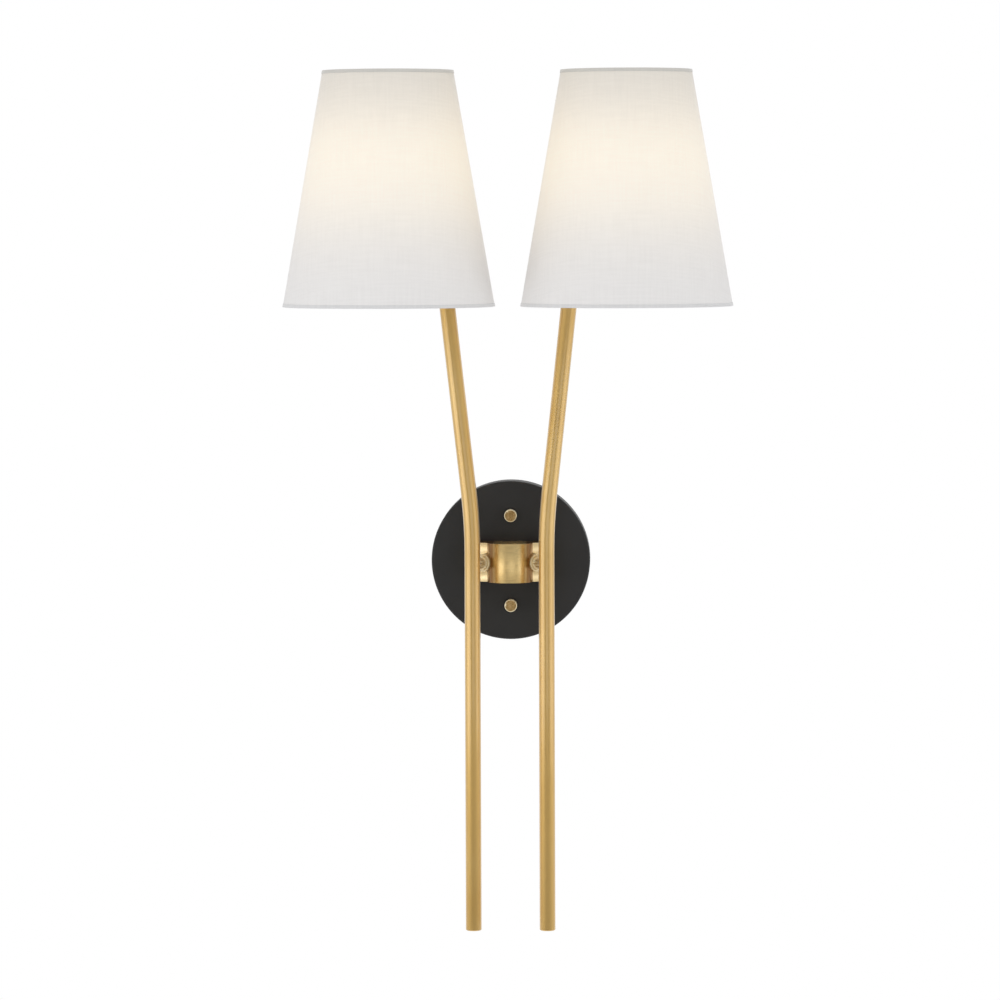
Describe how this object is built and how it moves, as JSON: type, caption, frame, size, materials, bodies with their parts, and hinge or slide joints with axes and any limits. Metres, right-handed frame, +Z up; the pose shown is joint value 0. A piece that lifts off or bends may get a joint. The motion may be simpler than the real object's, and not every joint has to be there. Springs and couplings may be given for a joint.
{
  "type": "double arm wall sconce",
  "caption": "Wall sconce whose slim satin brass arms stand before a round black wall plate, lean apart above it and carry tapered white fabric shades over pear-shaped bulbs.",
  "frame": {"origin": "centre of the wall plate and of its mounting bracket, on the wall surface", "axes": "+Z up, +Y into the wall, the lamp stands out along -Y, +X to the right of a viewer facing the wall"},
  "size_m": [0.343, 0.178, 0.6604],
  "materials": {
    "satin_brass": "brushed satin, lacquered",
    "plain_brass": "plain machined",
    "black_plate": "matte black powder coat, fine grain",
    "zinc_plated_steel": "zinc plated",
    "green_screw": "green dyed steel",
    "green_lead": "vinyl insulation",
    "black_lead": "vinyl insulation",
    "white_lead": "vinyl insulation",
    "black_rubber": "moulded",
    "black_nylon": "moulded",
    "orange_connector": "moulded",
    "phenolic": "moulded phenolic",
    "fibre_washer": "vulcanised fibre",
    "white_wire": "white epoxy coat",
    "styrene_liner": "translucent white styrene",
    "shade_linen": "fine off-white woven linen look",
    "bulb_insulator": "black glass insulator",
    "nickel_base": "nickel plated",
    "frosted_glass": "white frosted inside"
  },
  "bodies": {
    "root": {"mounting_bracket": "zinc_plated_steel", "plate_studs": "zinc_plated_steel", "stud_lock_nuts": "zinc_plated_steel", "hub_screws": "zinc_plated_steel", "hub_washers": "zinc_plated_steel", "ground_screw": "green_screw", "ground_lead": "green_lead", "backplate": "black_plate", "wire_grommet": "black_rubber", "wire_connectors": "orange_connector", "hub": "satin_brass", "arm_boss_left": "satin_brass", "arm_nipple_left": "plain_brass", "arm_lock_nut_left": "plain_brass", "arm_tube_left": "satin_brass", "arm_plug_left": "satin_brass", "live_lead_left": "black_lead", "neutral_lead_left": "white_lead", "feed_nipple_left": "plain_brass", "socket_cup_left": "satin_brass", "cup_nut_left": "plain_brass", "socket_body_left": "phenolic", "socket_shell_left": "plain_brass", "socket_contact_left": "plain_brass", "arm_boss_right": "satin_brass", "arm_nipple_right": "plain_brass", "arm_lock_nut_right": "plain_brass", "arm_tube_right": "satin_brass", "arm_plug_right": "satin_brass", "live_lead_right": "black_lead", "neutral_lead_right": "white_lead", "feed_nipple_right": "plain_brass", "socket_cup_right": "satin_brass", "cup_nut_right": "plain_brass", "socket_body_right": "phenolic", "socket_shell_right": "plain_brass", "socket_contact_right": "plain_brass"},
    "nut_washer_upper": {"nut_washer_upper": "black_nylon"},
    "cap_nut_upper": {"cap_nut_upper": "satin_brass"},
    "nut_washer_lower": {"nut_washer_lower": "black_nylon"},
    "cap_nut_lower": {"cap_nut_lower": "satin_brass"},
    "shade_left": {"shade_fabric_left": "shade_linen", "shade_liner_left": "styrene_liner", "shade_top_hoop_left": "white_wire", "shade_frame_left": "white_wire"},
    "shade_washer_left": {"shade_washer_left": "fibre_washer"},
    "shade_ring_left": {"shade_ring_left": "phenolic"},
    "bulb_contact_left": {"bulb_contact_left": "bulb_insulator"},
    "bulb_left": {"bulb_base_left": "nickel_base", "bulb_glass_left": "frosted_glass"},
    "shade_right": {"shade_fabric_right": "shade_linen", "shade_liner_right": "styrene_liner", "shade_top_hoop_right": "white_wire", "shade_frame_right": "white_wire"},
    "shade_washer_right": {"shade_washer_right": "fibre_washer"},
    "shade_ring_right": {"shade_ring_right": "phenolic"},
    "bulb_contact_right": {"bulb_contact_right": "bulb_insulator"},
    "bulb_right": {"bulb_base_right": "nickel_base", "bulb_glass_right": "frosted_glass"}
  },
  "joints": [
    {"name": "cap_nut_upper_travel", "type": "slide", "parent": "root", "child": "nut_washer_upper", "axis": [0, -1, 0], "range_m": [0, 0.00476]},
    {"name": "cap_nut_upper_turn", "type": "hinge", "parent": "nut_washer_upper", "child": "cap_nut_upper", "pos_m": [0, -0.03, 0.03492], "axis": [0, -1, 0], "range_deg": [0, 2164.3]},
    {"name": "cap_nut_lower_travel", "type": "slide", "parent": "root", "child": "nut_washer_lower", "axis": [0, -1, 0], "range_m": [0, 0.00476]},
    {"name": "cap_nut_lower_turn", "type": "hinge", "parent": "nut_washer_lower", "child": "cap_nut_lower", "pos_m": [0, -0.03, -0.03492], "axis": [0, -1, 0], "range_deg": [0, 2164.3]},
    {"name": "shade_left_turn", "type": "hinge", "parent": "root", "child": "shade_left", "pos_m": [-0.09045, -0.097, 0.29], "axis": [0, 0, 1], "continuous": true},
    {"name": "shade_ring_left_travel", "type": "slide", "parent": "root", "child": "shade_washer_left", "axis": [0, 0, 1], "range_m": [0, 0.005]},
    {"name": "shade_ring_left_turn", "type": "hinge", "parent": "shade_washer_left", "child": "shade_ring_left", "pos_m": [-0.09045, -0.097, 0.27], "axis": [0, 0, 1], "range_deg": [0, 901.8]},
    {"name": "bulb_left_travel", "type": "slide", "parent": "root", "child": "bulb_contact_left", "axis": [0, 0, 1], "range_m": [0, 0.0127]},
    {"name": "bulb_left_turn", "type": "hinge", "parent": "bulb_contact_left", "child": "bulb_left", "pos_m": [-0.09045, -0.097, 0.3], "axis": [0, 0, 1], "range_deg": [0, 1803.6]},
    {"name": "shade_right_turn", "type": "hinge", "parent": "root", "child": "shade_right", "pos_m": [0.09045, -0.097, 0.29], "axis": [0, 0, 1], "continuous": true},
    {"name": "shade_ring_right_travel", "type": "slide", "parent": "root", "child": "shade_washer_right", "axis": [0, 0, 1], "range_m": [0, 0.005]},
    {"name": "shade_ring_right_turn", "type": "hinge", "parent": "shade_washer_right", "child": "shade_ring_right", "pos_m": [0.09045, -0.097, 0.27], "axis": [0, 0, 1], "range_deg": [0, 901.8]},
    {"name": "bulb_right_travel", "type": "slide", "parent": "root", "child": "bulb_contact_right", "axis": [0, 0, 1], "range_m": [0, 0.0127]},
    {"name": "bulb_right_turn", "type": "hinge", "parent": "bulb_contact_right", "child": "bulb_right", "pos_m": [0.09045, -0.097, 0.3], "axis": [0, 0, 1], "range_deg": [0, 1803.6]}
  ],
  "couplings": [
    {"joint": "cap_nut_upper_turn", "follows": "cap_nut_upper_travel", "rad_per_m": 7913.3},
    {"joint": "cap_nut_lower_turn", "follows": "cap_nut_lower_travel", "rad_per_m": 7913.3},
    {"joint": "shade_ring_left_turn", "follows": "shade_ring_left_travel", "rad_per_m": 3141.6},
    {"joint": "bulb_left_turn", "follows": "bulb_left_travel", "rad_per_m": 2473.7},
    {"joint": "shade_ring_right_turn", "follows": "shade_ring_right_travel", "rad_per_m": 3141.6},
    {"joint": "bulb_right_turn", "follows": "bulb_right_travel", "rad_per_m": 2473.7}
  ]
}
